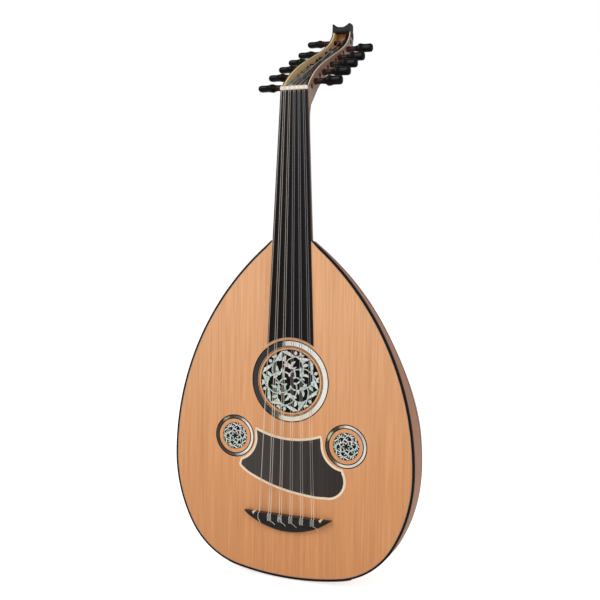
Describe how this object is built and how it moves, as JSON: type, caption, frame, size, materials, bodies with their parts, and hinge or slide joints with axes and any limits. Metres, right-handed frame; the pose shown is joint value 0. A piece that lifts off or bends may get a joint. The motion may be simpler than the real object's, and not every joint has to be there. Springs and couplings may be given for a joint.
{
  "type": "oud",
  "caption": "Fretless short-necked lute with a ribbed half-pear bowl, three pierced roses, crescent bridge, and a bent-back pegbox with turning friction pegs and paired strings.",
  "frame": {"origin": "centre line of the soundboard's outer face at its tail end, where a stand or a lap holds the instrument", "axes": "+Z along the strings from the tail to the pegbox, -Y out of the soundboard's face, +X towards the treble side"},
  "size_m": [0.3554, 0.2105, 0.8073],
  "materials": {
    "soundboard": "satin cedar with fine straight grain",
    "bowl_wood": "polished reddish-brown staves",
    "neck_wood": "polished wood",
    "ebony": "polished ebony",
    "bridge_wood": "dark stained wood",
    "peg_ebony": "turned and carved ebony",
    "pegbox_wood": "polished rosewood",
    "black_trim": "black dyed wood",
    "bone": "polished bone",
    "pearl": "pierced mother-of-pearl fretwork",
    "nacre": "polished nacre plates",
    "pickguard": "black satin veneer",
    "spruce": "raw spruce",
    "string": "plain and wound strings"
  },
  "bodies": {
    "body": {"brace_1": "spruce", "brace_2": "spruce", "brace_3": "spruce", "bridge": "bridge_wood", "edge_binding": "black_trim", "end_clasp": "pegbox_wood", "fingerboard": "ebony", "finial": "ebony", "neck": "neck_wood", "neck_block": "spruce", "nut": "bone", "pegbox_back": "pegbox_wood", "pegbox_cheek_bass": "pegbox_wood", "pegbox_cheek_treble": "pegbox_wood", "pickguard": "pickguard", "rib_01": "bowl_wood", "rib_02": "bowl_wood", "rib_03": "bowl_wood", "rib_04": "bowl_wood", "rib_05": "bowl_wood", "rib_06": "bowl_wood", "rib_07": "bowl_wood", "rib_08": "bowl_wood", "rib_09": "bowl_wood", "rib_10": "bowl_wood", "rib_11": "bowl_wood", "rib_12": "bowl_wood", "rib_13": "bowl_wood", "rib_14": "bowl_wood", "rib_15": "bowl_wood", "ring_bass": "nacre", "ring_large": "nacre", "ring_treble": "nacre", "rose_bass": "pearl", "rose_large": "pearl", "rose_treble": "pearl", "soundboard": "soundboard", "string_01": "string", "string_02": "string", "string_03": "string", "string_04": "string", "string_05": "string", "string_06": "string", "string_07": "string", "string_08": "string", "string_09": "string", "string_10": "string", "string_11": "string", "tail_block": "spruce"},
    "peg_bass_1": {"peg_bass_1": "peg_ebony"},
    "peg_treble_1": {"peg_treble_1": "peg_ebony"},
    "peg_bass_2": {"peg_bass_2": "peg_ebony"},
    "peg_treble_2": {"peg_treble_2": "peg_ebony"},
    "peg_bass_3": {"peg_bass_3": "peg_ebony"},
    "peg_treble_3": {"peg_treble_3": "peg_ebony"},
    "peg_bass_4": {"peg_bass_4": "peg_ebony"},
    "peg_treble_4": {"peg_treble_4": "peg_ebony"},
    "peg_bass_5": {"peg_bass_5": "peg_ebony"},
    "peg_treble_5": {"peg_treble_5": "peg_ebony"},
    "peg_bass_6": {"peg_bass_6": "peg_ebony"}
  },
  "joints": [
    {"name": "peg_bass_1_turn", "type": "hinge", "parent": "body", "child": "peg_bass_1", "pos_m": [0, 0.018, 0.6785], "axis": [1, 0, 0], "continuous": true},
    {"name": "peg_treble_1_turn", "type": "hinge", "parent": "body", "child": "peg_treble_1", "pos_m": [0, 0.029, 0.687], "axis": [1, 0, 0], "continuous": true},
    {"name": "peg_bass_2_turn", "type": "hinge", "parent": "body", "child": "peg_bass_2", "pos_m": [0, 0.0505, 0.699], "axis": [1, 0, 0], "continuous": true},
    {"name": "peg_treble_2_turn", "type": "hinge", "parent": "body", "child": "peg_treble_2", "pos_m": [0, 0.0635, 0.706], "axis": [1, 0, 0], "continuous": true},
    {"name": "peg_bass_3_turn", "type": "hinge", "parent": "body", "child": "peg_bass_3", "pos_m": [0, 0.084, 0.717], "axis": [1, 0, 0], "continuous": true},
    {"name": "peg_treble_3_turn", "type": "hinge", "parent": "body", "child": "peg_treble_3", "pos_m": [0, 0.0955, 0.723], "axis": [1, 0, 0], "continuous": true},
    {"name": "peg_bass_4_turn", "type": "hinge", "parent": "body", "child": "peg_bass_4", "pos_m": [0, 0.118, 0.734], "axis": [1, 0, 0], "continuous": true},
    {"name": "peg_treble_4_turn", "type": "hinge", "parent": "body", "child": "peg_treble_4", "pos_m": [0, 0.13, 0.74], "axis": [1, 0, 0], "continuous": true},
    {"name": "peg_bass_5_turn", "type": "hinge", "parent": "body", "child": "peg_bass_5", "pos_m": [0, 0.1535, 0.7523], "axis": [1, 0, 0], "continuous": true},
    {"name": "peg_treble_5_turn", "type": "hinge", "parent": "body", "child": "peg_treble_5", "pos_m": [0, 0.1705, 0.761], "axis": [1, 0, 0], "continuous": true},
    {"name": "peg_bass_6_turn", "type": "hinge", "parent": "body", "child": "peg_bass_6", "pos_m": [0, 0.189, 0.776], "axis": [1, 0, 0], "continuous": true}
  ]
}
